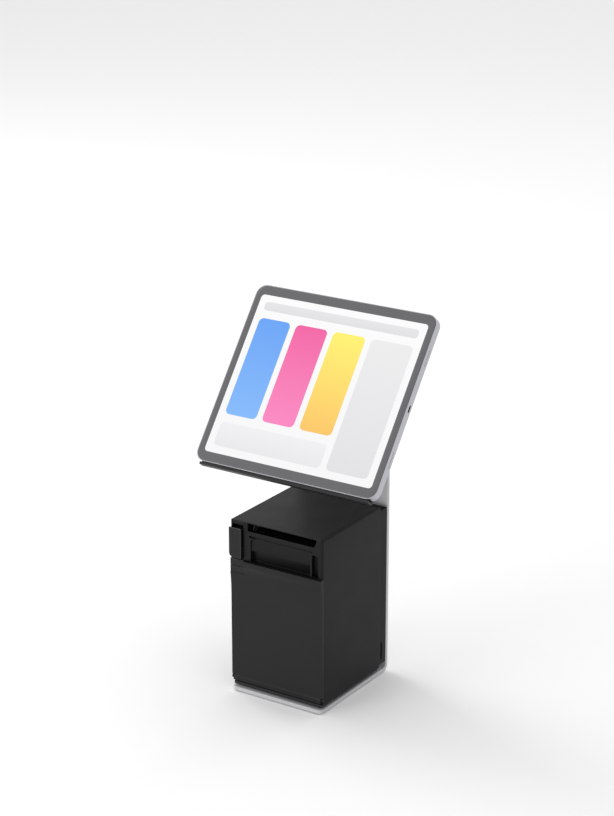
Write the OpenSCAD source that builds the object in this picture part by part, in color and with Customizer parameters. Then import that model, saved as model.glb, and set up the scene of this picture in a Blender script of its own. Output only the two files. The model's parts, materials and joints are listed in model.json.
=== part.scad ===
// Self checkout kiosk: a tablet on a tilting cradle, carried by an L-shaped steel
// stand that also holds a receipt printer with a front paper exit.
// X is to the right, Y to the rear and Z up. The origin is the centre of the
// base's footprint, on the counter.

/* [Stand] */
// Width of the steel stand
stand_width = 126; // [118:1:130]
// Depth of the base, front edge to rear face
base_depth = 148; // [144:1:160]
// Thickness of the bent steel plate
plate_thickness = 4.5; // [4:0.5:6]
// Thickness of the non-slip pad under the base
pad_thickness = 1.5; // [1:0.5:2]
// Height of the upright's top edge above the counter
upright_height = 352; // [350:1:360]
// Outer radius of the bend between base and upright
bend_radius = 8; // [7:0.5:12]
// Radius of the base's front corners
base_corner = 5; // [3:1:8]
// Radius of the upright's top corners
upright_corner = 16; // [8:1:24]
// Spacing of the counter fixing holes across the base
fixing_x = 100; // [98:1:102]
// Spacing of the counter fixing holes along the base
fixing_y = 116; // [116:1:118]
// Diameter of the counter fixing holes
fixing_hole = 5.5; // [4.5:0.5:6]

/* [Tilt hinge] */
// Distance from the tablet's glass to the tilt axis behind it
pivot_depth = 49; // [47:0.5:51]
// Diameter of the hinge pin
pin_diameter = 8; // [6:0.5:9]
// Radius of the hinge ears around the pin
ear_radius = 11; // [10:0.5:12]

/* [Tablet] */
// Width of the tablet
tablet_width = 248.6; // [240:0.2:256]
// Height of the tablet
tablet_height = 227.4; // [220:0.2:232]
// Thickness of the tablet
tablet_thickness = 10; // [9.5:0.5:10.5]
// Radius of the tablet's corners
tablet_corner = 13; // [11:1:16]
// Dark border left and right of the screen
border_side = 9.3; // [6:0.1:12]
// Dark border above and below the screen
border_end = 12.5; // [8:0.1:16]
// Lean of the tablet back from upright, in degrees
tablet_lean = 37.5; // [35:0.5:40]
// Depth position of the centre of the glass
tablet_y = 9.1; // [8:0.1:10]
// Height of the centre of the glass
tablet_z = 367.6; // [367:0.1:370]

/* [Printer] */
// Width of the printer
printer_width = 128; // [126:1:130]
// Front plane of the printer
printer_front = -72.5; // [-73:0.5:-72]
// Rear plane of the printer
printer_rear = 54; // [52:0.5:56]
// Height of the printer casing's lower edge
printer_bottom = 12; // [11:0.5:13]
// Height of the printer's top face
printer_top = 219.5; // [219:0.5:221]
// Wall thickness of the printer's casing
wall = 2.5; // [2:0.1:2.6]
// Height of the front cover's top lip
cover_line = 170.8; // [170.5:0.1:171]
// How far the front cover's lip stands out at the top
cover_flare = 4.8; // [3:0.1:5]

/* [Paper] */
// Width of the paper
paper_width = 79.5; // [57:0.5:79.5]
// Diameter of a full paper roll
roll_diameter = 80; // [50:1:80]
// Offset of the paper path from the printer's middle
paper_x = 5.5; // [5:0.1:6]

/* [Feed gears] */
// Module of the feed gears
gear_module = 0.7; // [0.7:0.1:0.7]
// Teeth of the platen's gear
platen_teeth = 24; // [24:1:24]
// Teeth of the idler gear
idler_teeth = 36; // [36:1:36]
// Teeth of the motor's pinion
pinion_teeth = 12; // [12:1:12]

/* [Hidden] */
$fn = 96;

// Clearances: turning pin in its hole, sliding button in its hole, cover gap
run_gap = 0.05;
slide_gap = 0.15;
cover_gap = 0.3;
eps = 0.5;

// Stand
base_top = pad_thickness + plate_thickness;
stand_rear = base_depth / 2;
stand_front = -base_depth / 2;
upright_front = stand_rear - plate_thickness;
window_z = 74;
window_w = 56;
window_h = 26;
tablet_window_z = 286;
tablet_window_w = 34;
tablet_window_h = 16;
grommet_lip = 2;
grommet_wall = 1.5;
printer_screw_x = 45;
printer_screw_y = [-36, 30];
printer_screw_r = 1.5;
printer_screw_head = 3.2;

// Tilt hinge, in the plane through the tilt axis
pivot_y = tablet_y + pivot_depth * cos(tablet_lean);
pivot_z = tablet_z - pivot_depth * sin(tablet_lean);
pin_r = pin_diameter / 2;
fixed_ear_inner = 22;
fixed_ear_outer = 26;
arm_ear_inner = 16;
arm_ear_outer = 20;
hinge_plate_t = 4;
hinge_plate_w = 78;
hinge_plate_low = 316;
hinge_plate_high = 349;
hinge_screw_x = 31;
hinge_screw_z = [323, 343];
hinge_screw_r = 2.5;
pin_head_t = 4;
pin_head_r = 7;
nut_across = 15;
nut_t = 6;

// Stack behind the glass, measured along the tablet's normal
glass_t = 0.8;
tablet_back = -tablet_thickness;
pad_t = 1;
cradle_t = 3;
cradle_front = tablet_back - pad_t;
cradle_back = cradle_front - cradle_t;
arm_plate_back = cradle_back - 3;
arm_plate_w = 92;
plate_hole_x = 37.5;
plate_hole_r = 2;
ledge_half = 116;
ledge_low = -tablet_height / 2 - 4;
ledge_front = -1.2;
cradle_bend = 5;
cradle_high = 70;

// Tablet
shell_wall = 2.2;
shell_rim = 0.3;
shell_floor = 1.2;
glass_inset = 1;
glass_gap = 0.1;
cavity_back = tablet_back + shell_floor;
side_x = tablet_width / 2;
usb_z = -5.4;
usb_w = 9;
usb_h = 3.2;
speaker_y = 63;
button_z = -5.2;
tablet_power_y = 86;
volume_up_y = -66;
volume_down_y = -84;
tablet_button_w = 13;
tablet_button_h = 2.6;
rear_camera_at = [-106, 95];

// Printer
half_w = printer_width / 2;
inner_w = half_w - wall;
inner_rear = printer_rear - wall;
case_corner = 2;
case_round = 3;
cover_half = inner_w - cover_gap;
top_cover_z = printer_top - 2.7;
slot_low = 208.5;
slot_high = 218.2;
slot_left = -40;
slot_right = 55;
lip_low = 203.3;
lip_rear = -64;
tear_z = 206.6;
bezel_rear = -62.5;
bezel_low = cover_line + 0.6;
lip_gap_low = 200.8;
side_recess = 9;
pull_left = -38;
pull_right = 49;
pull_wall = 2;
pull_high = 184.5;
pull_floor = 158;
pull_depth = 7.5;
grip_round = 6;
grip_step = 2.2;
lip_reach = 3;
recess_depth = 6;
lip_drop = 1.2;
lever_room = 1.5;
lever_head_room = 3.8;
slot_slant = 3;
flare_low = 128;
tab_right = -44.2;
tab_low = 153.5;
tab_high = 161.6;
tab_groove = 0.8;
tab_face = printer_front - 1.2;
panel_t = 4;
cover_rear = printer_front + panel_t;
shroud_half = 63;
shroud_rear = 69.2;
shroud_low = 14;
shroud_high = 214;
shroud_t = 2;
notch_y = [58, 60.5];
notch_z = [20, 42];
door_y = -69.5;
door_z = 18;
door_low = 14;
door_pin_r = 1.5;
nose_r = 3;
knuckle_r = 3.4;
knuckle_w = 7;
sole_low = 8;
sole_top = 15;
plinth_half = 62;
plinth_inset = 2;
tray_half = 58;
tray_front = -52.5;
tray_wall = 2.5;
foot_x = 50;
foot_y = [-44, 40];
foot_r = 5.5;
chassis_t = 1.5;
chassis_top = sole_top + chassis_t;

// Paper and feed
platen_y = -53;
platen_z = 195;
platen_r = 6;
shaft_r = 3;
roller_half = 40;
cheek_half = 44.5;
roll_y = -6;
bucket_z = 66;
bucket_r = 43;
roll_r = roll_diameter / 2;
roll_z = bucket_z - bucket_r + roll_r + cover_gap;
core_r = 8.5;
gear_left = -45.5;
gear_w = 3;
platen_pitch = gear_module * platen_teeth / 2;
idler_pitch = gear_module * idler_teeth / 2;
pinion_pitch = gear_module * pinion_teeth / 2;
idler_y = platen_y + platen_pitch + idler_pitch;
idler_z = platen_z;
pinion_angle = -45;
pinion_y = idler_y + (idler_pitch + pinion_pitch) * cos(pinion_angle);
pinion_z = idler_z + (idler_pitch + pinion_pitch) * sin(pinion_angle);
stud_r = 2;
motor_r = 14;
motor_l = 20;
head_y = platen_y + platen_r + run_gap;
blade_z = 204.6;
blade_t = 1;

// Lever
lever_left = -63.8;
lever_right = -46.8;
lever_low = 173.4;
lever_high = 210.7;
lever_proud = 4.5;
lever_y = printer_front + 5.3;
lever_z = 207;
lever_lug_r = 2.6;
lever_lug = [-59.5, -50.5];
lever_swing = 25;
lever_round = 5;
heel_gap = 0.3;
trunnion_r = 1.2;

// Rear sockets as [left, low, width, height] on the rear wall
sockets = [[-48, 36, 13, 12], [-28, 35, 14, 13], [-5, 35, 17, 14], [21, 35, 14, 12]];
socket_rear = 53.6;
board_y = 44;
case_screw_x = 42;
case_screw_z = 24;

// Buttons and lamp on the printer's left side as [Y, Z, radius]
power_at = [-32, 60, 5];
feed_at = [-14, 60, 4];
lens_at = [0, 60, 2];
window_rear = [-54, 32, 98, 23];

// A rectangle with round corners, centred
module rounded_rect(w, h, r) {
    square([w - 2 * r, h], center = true);
    square([w, h - 2 * r], center = true);
    for (x = [-1, 1], y = [-1, 1])
        translate([x * (w / 2 - r), y * (h / 2 - r)]) circle(r);
}

// A box between two opposite corners
module block(low, high) {
    translate(low) cube(high - low);
}

// A cylinder along X, between two X values
module rod(x0, x1, y, z, r) {
    translate([x0, y, z]) rotate([0, 90, 0]) cylinder(h = x1 - x0, r = r);
}

// A cylinder along Y, between two Y values
module rod_y(x, y0, y1, z, r) {
    translate([x, y0, z]) rotate([-90, 0, 0]) cylinder(h = y1 - y0, r = r);
}

// Extrudes an outline drawn in Y and Z from one X value to another
module along_x(x0, x1) {
    translate([x0, 0, 0]) rotate([90, 0, 90]) linear_extrude(x1 - x0) children();
}

// Extrudes an outline drawn in X and Z from one Y value to another
module along_y(y0, y1) {
    translate([0, y1, 0]) rotate([90, 0, 0]) linear_extrude(y1 - y0) children();
}

// Places children drawn on the tablet: X right, Y up the glass, Z out of the glass
module on_tablet() {
    translate([0, tablet_y, tablet_z]) rotate([90 - tablet_lean, 0, 0]) children();
}

// A quarter-round sheet bend in X, Y and Z quadrant directions
module bend(x0, x1, y, z, r, t, dy, dz) {
    intersection() {
        difference() {
            rod(x0, x1, y, z, r);
            rod(x0 - eps, x1 + eps, y, z, r - t);
        }
        block([x0 - eps, min(y, y + dy * r), min(z, z + dz * r)],
              [x1 + eps, max(y, y + dy * r), max(z, z + dz * r)]);
    }
}

// ---------------------------------------------------------------- gears
// Involute angle and radius where the unwound string has turned by a
function involute_r(base, a) = base * sqrt(1 + pow(a * PI / 180, 2));
function involute_turn(a) = a - atan(a * PI / 180);
function string_at(base, r) = sqrt(pow(r / base, 2) - 1) * 180 / PI;
function polar(r, a) = [r * cos(a), r * sin(a)];

// One flank of a tooth, from the root to the tip, at half-angle signs
function flank(base, root, tip, half, side) = [
    polar(root, side * half),
    for (i = [0 : 4])
        let (r = max(base, root) + (tip - max(base, root)) * i / 4,
             a = string_at(base, max(r, base + 0.0001)))
        polar(involute_r(base, a), side * (half - involute_turn(a)))
];

function reversed(points) = [for (i = [len(points) - 1 : -1 : 0]) points[i]];

// Involute spur gear with 20 degree flanks and a little backlash
module gear_outline(teeth) {
    pitch = gear_module * teeth / 2;
    base = pitch * cos(20);
    tip = pitch + 0.9 * gear_module;
    root = pitch - 1.15 * gear_module;
    backlash = 0.05;
    half = 90 / teeth - backlash / pitch * 180 / PI + involute_turn(string_at(base, pitch));
    polygon([
        for (i = [0 : teeth - 1])
            let (turn = 360 * i / teeth,
                 left = flank(base, root, tip, half, -1),
                 right = reversed(flank(base, root, tip, half, 1)))
            for (p = concat(left, right))
                [p[0] * cos(turn) - p[1] * sin(turn), p[0] * sin(turn) + p[1] * cos(turn)]
    ]);
}

// A gear on an X axis, with its bore, turned so that its teeth mesh at rest
module gear(teeth, y, z, bore, turn) {
    difference() {
        translate([0, y, z]) along_x(gear_left, gear_left + gear_w)
            rotate(turn) gear_outline(teeth);
        rod(gear_left - eps, gear_left + gear_w + eps, y, z, bore);
    }
}

// ---------------------------------------------------------------- stand
module upright_holes() {
    for (x = [-1, 1], z = hinge_screw_z)
        rod_y(x * hinge_screw_x, upright_front - eps, stand_rear + eps, z, hinge_screw_r);
    translate([0, stand_rear + eps, window_z]) rotate([90, 0, 0])
        linear_extrude(plate_thickness + 2 * eps)
            rounded_rect(window_w, window_h, window_h / 2 - 0.01);
    translate([0, stand_rear + eps, tablet_window_z]) rotate([90, 0, 0])
        linear_extrude(plate_thickness + 2 * eps)
            rounded_rect(tablet_window_w, tablet_window_h, tablet_window_h / 2 - 0.01);
}

module base_holes() {
    for (x = [-1, 1], y = [-1, 1])
        translate([x * fixing_x / 2, y * fixing_y / 2, -eps])
            cylinder(h = base_top + 2 * eps, r = fixing_hole / 2);
}

module stand_plate() {
    flat_rear = stand_rear - bend_radius;
    flat_depth = flat_rear - stand_front;
    color("gainsboro") difference() {
        union() {
            translate([0, stand_front + flat_depth / 2, pad_thickness])
                linear_extrude(plate_thickness) {
                    rounded_rect(stand_width, flat_depth, base_corner);
                    translate([-stand_width / 2, 0]) square([stand_width, flat_depth / 2]);
                }
            bend(-stand_width / 2, stand_width / 2, flat_rear, pad_thickness + bend_radius,
                 bend_radius, plate_thickness, 1, -1);
            translate([0, stand_rear, (upright_height + pad_thickness + bend_radius) / 2])
                rotate([90, 0, 0]) linear_extrude(plate_thickness) {
                    h = upright_height - pad_thickness - bend_radius;
                    rounded_rect(stand_width, h, upright_corner);
                    translate([-stand_width / 2, -h / 2]) square([stand_width, h / 2]);
                }
        }
        upright_holes();
        base_holes();
        for (x = [-1, 1], y = printer_screw_y)
            translate([x * printer_screw_x, y, pad_thickness]) {
                cylinder(h = plate_thickness + eps, r = printer_screw_r);
                cylinder(h = 1.8, r1 = printer_screw_head, r2 = printer_screw_r);
            }
    }
}

module base_pad() {
    color("dimgray") difference() {
        linear_extrude(pad_thickness) rounded_rect(stand_width - 4, base_depth - 8, base_corner);
        base_holes();
    }
}

module printer_screws() {
    color("silver")
        for (x = [-1, 1], y = printer_screw_y)
            translate([x * printer_screw_x, y, pad_thickness]) {
                cylinder(h = 1.8, r1 = printer_screw_head, r2 = printer_screw_r);
                cylinder(h = 12, r = printer_screw_r);
            }
}

module cable_grommet() {
    color("black") translate([0, 0, window_z]) rotate([90, 0, 0]) difference() {
        union() {
            translate([0, 0, -stand_rear]) linear_extrude(plate_thickness)
                rounded_rect(window_w, window_h, window_h / 2 - 0.01);
            for (z = [-stand_rear - 1, -upright_front])
                translate([0, 0, z]) linear_extrude(1)
                    rounded_rect(window_w + 2 * grommet_lip, window_h + 2 * grommet_lip,
                                 window_h / 2 + grommet_lip - 0.01);
        }
        translate([0, 0, -stand_rear - 2]) linear_extrude(plate_thickness + 4)
            rounded_rect(window_w - 2 * grommet_wall, window_h - 2 * grommet_wall,
                         window_h / 2 - grommet_wall - 0.01);
    }
}

// ---------------------------------------------------------------- tilt hinge
module hinge_base() {
    color("dimgray") difference() {
        union() {
            block([-hinge_plate_w / 2, upright_front - hinge_plate_t, hinge_plate_low],
                  [hinge_plate_w / 2, upright_front, hinge_plate_high]);
            for (x = [-fixed_ear_outer, fixed_ear_inner]) {
                ear_t = fixed_ear_outer - fixed_ear_inner;
                rod(x, x + ear_t, pivot_y, pivot_z, ear_radius);
                block([x, pivot_y, pivot_z - ear_radius],
                      [x + ear_t, upright_front - hinge_plate_t, pivot_z + ear_radius]);
            }
        }
        rod(-fixed_ear_outer - eps, fixed_ear_outer + eps, pivot_y, pivot_z, pin_r + run_gap);
        for (x = [-1, 1], z = hinge_screw_z)
            rod_y(x * hinge_screw_x, upright_front - hinge_plate_t - eps, upright_front + eps,
                  z, hinge_screw_r);
    }
}

module hinge_screws() {
    color("silver") for (x = [-1, 1], z = hinge_screw_z) difference() {
        union() {
            rod_y(x * hinge_screw_x, upright_front - hinge_plate_t, stand_rear, z, hinge_screw_r);
            rod_y(x * hinge_screw_x, stand_rear, stand_rear + 2.6, z, 4.75);
        }
        rod_y(x * hinge_screw_x, stand_rear + 1.2, stand_rear + 4, z, 1.7, $fn = 6);
    }
}

module hinge_pin() {
    color("silver") {
        rod(-fixed_ear_outer, fixed_ear_outer + nut_t + 2, pivot_y, pivot_z, pin_r);
        rod(-fixed_ear_outer - pin_head_t, -fixed_ear_outer, pivot_y, pivot_z, pin_head_r);
    }
}

module hinge_nut() {
    color("silver") difference() {
        translate([fixed_ear_outer, pivot_y, pivot_z]) rotate([0, 90, 0])
            cylinder(h = nut_t, r = nut_across / 2, $fn = 6);
        rod(fixed_ear_outer - eps, fixed_ear_outer + nut_t + eps, pivot_y, pivot_z, pin_r);
    }
}

module friction_washers() {
    color("goldenrod") for (x = [-fixed_ear_inner + run_gap, arm_ear_outer]) difference() {
        rod(x, x + fixed_ear_inner - arm_ear_outer - run_gap, pivot_y, pivot_z, ear_radius - 1);
        rod(x - eps, x + 3, pivot_y, pivot_z, pin_r + run_gap);
    }
}

module tilt_arm() {
    color("dimgray") on_tablet() difference() {
        union() {
            translate([0, 0, arm_plate_back]) linear_extrude(cradle_back - arm_plate_back)
                rounded_rect(arm_plate_w, arm_plate_w, 8);
            for (x = [-arm_ear_outer, arm_ear_inner]) {
                ear_t = arm_ear_outer - arm_ear_inner;
                block([x, -ear_radius, -pivot_depth], [x + ear_t, ear_radius, arm_plate_back]);
                rod(x, x + ear_t, 0, -pivot_depth, ear_radius);
            }
        }
        rod(-arm_ear_outer - eps, arm_ear_outer + eps, 0, -pivot_depth, pin_r + run_gap);
        for (x = [-1, 1], y = [-1, 1])
            translate([x * plate_hole_x, y * plate_hole_x, arm_plate_back - eps])
                cylinder(h = 3 + 2 * eps, r = plate_hole_r);
    }
}

module cradle() {
    low = ledge_low + cradle_bend;
    color("black") on_tablet() difference() {
        union() {
            translate([0, (low + cradle_high) / 2, cradle_back]) linear_extrude(cradle_t) {
                rounded_rect(2 * ledge_half, cradle_high - low, 14);
                translate([-ledge_half, (low - cradle_high) / 2])
                    square([2 * ledge_half, (cradle_high - low) / 2]);
            }
            bend(-ledge_half, ledge_half, low, cradle_back + cradle_bend,
                 cradle_bend, cradle_t, -1, -1);
            block([-ledge_half, ledge_low, cradle_back + cradle_bend],
                  [ledge_half, ledge_low + cradle_t, ledge_front]);
        }
        for (x = [-1, 1], y = [-1, 1])
            translate([x * plate_hole_x, y * plate_hole_x, cradle_back]) {
                translate([0, 0, -eps]) cylinder(h = cradle_t + 2 * eps, r = plate_hole_r);
                translate([0, 0, cradle_t - 2]) cylinder(h = 2, r1 = plate_hole_r, r2 = 4);
            }
    }
}

module cradle_screws() {
    color("silver") on_tablet() for (x = [-1, 1], y = [-1, 1])
        translate([x * plate_hole_x, y * plate_hole_x, cradle_back]) {
            translate([0, 0, -4.5]) cylinder(h = cradle_t + 4.5, r = plate_hole_r);
            translate([0, 0, cradle_t - 2]) cylinder(h = 2, r1 = plate_hole_r, r2 = 4);
        }
}

module grip_pads() {
    color("gray") on_tablet() for (x = [-80, 80], y = [-72, 44])
        translate([x, y, cradle_front]) linear_extrude(pad_t) rounded_rect(36, 36, 4);
}

module ledge_liner() {
    color("black") on_tablet()
        block([-ledge_half + 2, ledge_low + cradle_t, cradle_back + cradle_bend],
              [ledge_half - 2, -tablet_height / 2, -2]);
}

// ---------------------------------------------------------------- tablet
module side_button_cut(y) {
    translate([-side_x - eps, y, button_z]) rotate([90, 0, 90])
        linear_extrude(shell_wall + 2 * eps)
            rounded_rect(tablet_button_w + 2 * slide_gap, tablet_button_h + 2 * slide_gap,
                         tablet_button_h / 2);
}

module tablet_shell() {
    color("silver") on_tablet() difference() {
        translate([0, 0, tablet_back]) linear_extrude(tablet_thickness - shell_rim)
            rounded_rect(tablet_width, tablet_height, tablet_corner);
        translate([0, 0, cavity_back]) linear_extrude(tablet_thickness)
            rounded_rect(tablet_width - 2 * shell_wall, tablet_height - 2 * shell_wall,
                         tablet_corner - shell_wall);
        translate([0, 0, -glass_t]) linear_extrude(glass_t)
            rounded_rect(tablet_width - 2 * (glass_inset - glass_gap),
                         tablet_height - 2 * (glass_inset - glass_gap),
                         tablet_corner - glass_inset + glass_gap);
        translate([side_x - shell_wall - eps, 0, usb_z]) rotate([90, 0, 90])
            linear_extrude(shell_wall + 2 * eps) rounded_rect(usb_w, usb_h, usb_h / 2 - 0.01);
        for (side = [-1, 1], i = [-3.5 : 3.5], end = [-1, 1])
            rod(side > 0 ? side_x - shell_wall - eps : -side_x - eps,
                side > 0 ? side_x + eps : -side_x + shell_wall + eps,
                end * (side > 0 ? speaker_y : speaker_y - 23) + i * 2.6, usb_z, 0.7, $fn = 24);
        for (y = [tablet_power_y, volume_up_y, volume_down_y]) side_button_cut(y);
        translate([rear_camera_at[0], rear_camera_at[1], tablet_back - eps])
            cylinder(h = shell_floor + 2 * eps, r = 6);
    }
}

module tablet_glass() {
    color("black") on_tablet() translate([0, 0, -glass_t]) linear_extrude(glass_t)
        rounded_rect(tablet_width - 2 * glass_inset, tablet_height - 2 * glass_inset,
                     tablet_corner - glass_inset);
}

module tablet_display() {
    color("white") on_tablet() translate([0, 0, -glass_t - 1.7]) linear_extrude(1.7)
        rounded_rect(tablet_width - 2 * border_side, tablet_height - 2 * border_end, 4.5);
}

module tablet_battery() {
    color("dimgray") on_tablet() for (x = [-66, 4])
        block([x, -86, cavity_back], [x + 62, 50, cavity_back + 4]);
}

module tablet_board() {
    color("darkgreen") on_tablet() {
        block([-96, 62, cavity_back], [84, 84, cavity_back + 1]);
        block([-60, 66, cavity_back + 1], [-42, 80, cavity_back + 2.4]);
        block([-20, 66, cavity_back + 1], [2, 80, cavity_back + 2]);
        block([30, 68, cavity_back + 1], [52, 78, cavity_back + 2.2]);
    }
}

module tablet_speakers() {
    color("black") on_tablet() for (side = [-1, 1], end = [-1, 1]) {
        near = side_x - shell_wall - 0.2;
        y = end * (side > 0 ? speaker_y : speaker_y - 23);
        block([side > 0 ? near - 14 : -near, y - 12, cavity_back],
              [side > 0 ? near : -near + 14, y + 12, cavity_back + 4.6]);
    }
}

// A side button of the tablet: a pill through the wall with a flange behind it
module tablet_button(y) {
    inner = -side_x + shell_wall;
    color("silver") on_tablet() translate([0, y, button_z]) rotate([90, 0, 90]) {
        translate([0, 0, -side_x - 0.6]) linear_extrude(shell_wall + 0.65)
            rounded_rect(tablet_button_w, tablet_button_h, tablet_button_h / 2 - 0.01);
        translate([0, 0, inner + run_gap]) linear_extrude(0.8)
            rounded_rect(tablet_button_w + 3, tablet_button_h + 1.6, 1.2);
    }
}

module tablet_power_button() { tablet_button(tablet_power_y); }

module volume_up_button() { tablet_button(volume_up_y); }

module volume_down_button() { tablet_button(volume_down_y); }

module front_camera() {
    color("black") on_tablet() translate([0, tablet_height / 2 - border_end / 2, -glass_t - 3])
        cylinder(h = 3, r = 2.4);
}

module rear_camera() {
    color("black") on_tablet() translate([rear_camera_at[0], rear_camera_at[1], 0]) {
        translate([0, 0, tablet_back - 1.2]) cylinder(h = 1.2, r = 7.2);
        translate([0, 0, tablet_back]) cylinder(h = 4.5, r = 6);
    }
}

module usb_port() {
    color("silver") on_tablet() translate([side_x - shell_wall - 7, 0, usb_z])
        rotate([90, 0, 90]) {
            difference() {
                linear_extrude(7) rounded_rect(usb_w + 1, usb_h + 1, usb_h / 2 + 0.4);
                translate([0, 0, 1]) linear_extrude(7)
                    rounded_rect(usb_w, usb_h, usb_h / 2 - 0.01);
            }
            translate([0, 0, 1]) linear_extrude(5) square([6.4, 0.7], center = true);
        }
}

// ---------------------------------------------------------------- printer shell
// The casing's outer form: upright corners small, the upper side edges rounder
module case_form() {
    depth = printer_rear - printer_front;
    height = printer_top - printer_bottom;
    intersection() {
        translate([0, (printer_rear + printer_front) / 2, printer_bottom])
            linear_extrude(height) rounded_rect(printer_width, depth, case_corner);
        along_y(printer_front - 1, printer_rear + 1) {
            translate([0, printer_bottom + height / 2])
                rounded_rect(printer_width, height, case_round);
            translate([-half_w, printer_bottom]) square([printer_width, height / 2]);
        }
    }
}

module printer_case() {
    color("#2d2d2d") difference() {
        union() {
            difference() {
                case_form();
                block([-half_w - eps, printer_front - 2, door_z],
                      [half_w + eps, cover_rear + cover_gap, cover_line + cover_gap]);
                block([-half_w - eps, printer_front - 2, printer_bottom - eps],
                      [half_w + eps, door_y, door_z + eps]);
            }
            rod(-half_w, half_w, door_y, door_z, nose_r);
        }
        block([-inner_w, printer_front - 2, printer_bottom - eps],
              [inner_w, inner_rear, printer_top + eps]);
        block([window_rear[0], inner_rear - eps, window_rear[1]],
              [window_rear[0] + window_rear[2], printer_rear + eps,
               window_rear[1] + window_rear[3]]);
        rod(-inner_w - 1.9, inner_w + 1.9, door_y, door_z, door_pin_r + run_gap);
        rod(-inner_w - 1.4, -inner_w + eps, lever_y, lever_z, trunnion_r + run_gap);
        rod(-half_w - eps, -inner_w + eps, power_at[0], power_at[1], power_at[2] + slide_gap);
        rod(-half_w - eps, -inner_w + eps, feed_at[0], feed_at[1], feed_at[2] + slide_gap);
        rod(-half_w - eps, -inner_w + eps, lens_at[0], lens_at[1], lens_at[2]);
        for (x = [-1, 1])
            rod_y(x * case_screw_x, inner_rear - eps, printer_rear + eps, case_screw_z, 1.5);
    }
}

module top_cover() {
    color("#343434") difference() {
        block([-cover_half, printer_front + 0.2, top_cover_z],
              [cover_half, inner_rear - cover_gap, printer_top]);
        block([slot_left, printer_front - 1, top_cover_z - 1],
              [slot_right, printer_front + recess_depth, slot_high]);
    }
}

// The shallow step over the finger recess, with one round corner at its upper left
module grip_relief() {
    left = pull_left + pull_wall;
    difference() {
        block([left, printer_front - 1, pull_high - 1],
              [pull_right - pull_wall, printer_front + grip_step, lip_gap_low]);
        difference() {
            block([left - 1, printer_front - 2, lip_gap_low - grip_round],
                  [left + grip_round, printer_front + 3, lip_gap_low + 1]);
            translate([left + grip_round, printer_front - 3, lip_gap_low - grip_round])
                rotate([-90, 0, 0]) cylinder(h = 8, r = grip_round);
        }
    }
}

module exit_bezel() {
    color("#2f2f2f") difference() {
        block([-cover_half, printer_front, bezel_low], [cover_half, bezel_rear, top_cover_z]);
        block([pull_left + pull_wall, printer_front - 1, bezel_low - 1],
              [pull_right - pull_wall, printer_front + pull_depth, pull_high]);
        grip_relief();
        block([pull_left, printer_front - 1, lip_gap_low],
              [pull_right, printer_front + lip_reach, lip_low]);
        block([pull_right, printer_front - 1, bezel_low - 1],
              [pull_right + side_recess, printer_front + recess_depth, lip_gap_low - pull_wall]);
        along_y(printer_front - 1, bezel_rear + 1) polygon([
            [slot_left, slot_low], [slot_right - slot_slant, slot_low],
            [slot_right, slot_low + 2 * slot_slant], [slot_right, top_cover_z + 1],
            [slot_left, top_cover_z + 1]
        ]);
        along_x(slot_left, slot_right - slot_slant) polygon([
            [printer_front + lip_drop, slot_low + 0.1], [lip_rear + 1, slot_low + 0.1],
            [lip_rear + 1, lip_low + lip_drop]
        ]);
        block([slot_left, lip_rear, lip_low],
              [slot_right, bezel_rear + 1, slot_low + 1]);
        block([-half_w, printer_front - 1, lever_low - lever_room],
              [lever_right + 0.9, bezel_rear - 1.8, lever_high + lever_head_room]);
        rod(lever_right, lever_right + 4, lever_y, lever_z, trunnion_r + run_gap);
    }
}

module tear_bar() {
    teeth = 30;
    step = (slot_right - slot_left - 4) / teeth;
    color("silver") translate([slot_left + 2, lip_rear + 0.8, 0]) rotate([90, 0, 0])
        linear_extrude(0.8) polygon(concat(
            [[teeth * step, lip_low + 0.3], [0, lip_low + 0.3]],
            [for (i = [0 : teeth - 1], p = [[0, tear_z], [0.5, tear_z + 1]])
                [(i + p[0]) * step, p[1]]],
            [[teeth * step, tear_z]]));
}

module front_cover() {
    rise = cover_line - flare_low;
    flare_r = (pow(rise, 2) + pow(cover_flare, 2)) / (2 * cover_flare);
    panel_low = door_z + nose_r + cover_gap;
    color("#2f2f2f") difference() {
        union() {
            difference() {
                block([-half_w + 0.1, printer_front - cover_flare, panel_low],
                      [half_w - 0.1, cover_rear, cover_line]);
                rod(-half_w - 1, half_w + 1, printer_front - flare_r, flare_low, flare_r);
                block([-half_w - 1, printer_front - 2 * cover_flare, panel_low - 1],
                      [half_w + 1, printer_front, flare_low]);
            }
            block([-cover_half, printer_front, door_low], [cover_half, cover_rear, panel_low]);
            block([pull_left, cover_rear, pull_floor - 2.5],
                  [pull_right, printer_front + pull_depth + 2.5, cover_line]);
            for (x = [-cover_half, cover_half - knuckle_w])
                rod(x, x + knuckle_w, door_y, door_z, knuckle_r);
        }
        block([pull_left + pull_wall, printer_front - 0.3, pull_floor],
              [pull_right - pull_wall, printer_front + pull_depth, cover_line + 1]);
        for (x = [-cover_half - 1, cover_half - knuckle_w])
            rod(x, x + knuckle_w + 1, door_y, door_z, door_pin_r);
        block([-half_w - 1, tab_face - 2 * cover_flare, tab_low],
              [tab_right, tab_face, cover_line + 1]);
        block([-half_w - 1, tab_face - eps, tab_high],
              [tab_right, tab_face + tab_groove, tab_high + tab_groove]);
    }
}

module door_pins() {
    color("silver") for (x = [-inner_w - 1.8, cover_half - knuckle_w])
        rod(x, x + knuckle_w + cover_gap + 1.8, door_y, door_z, door_pin_r);
}

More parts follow.
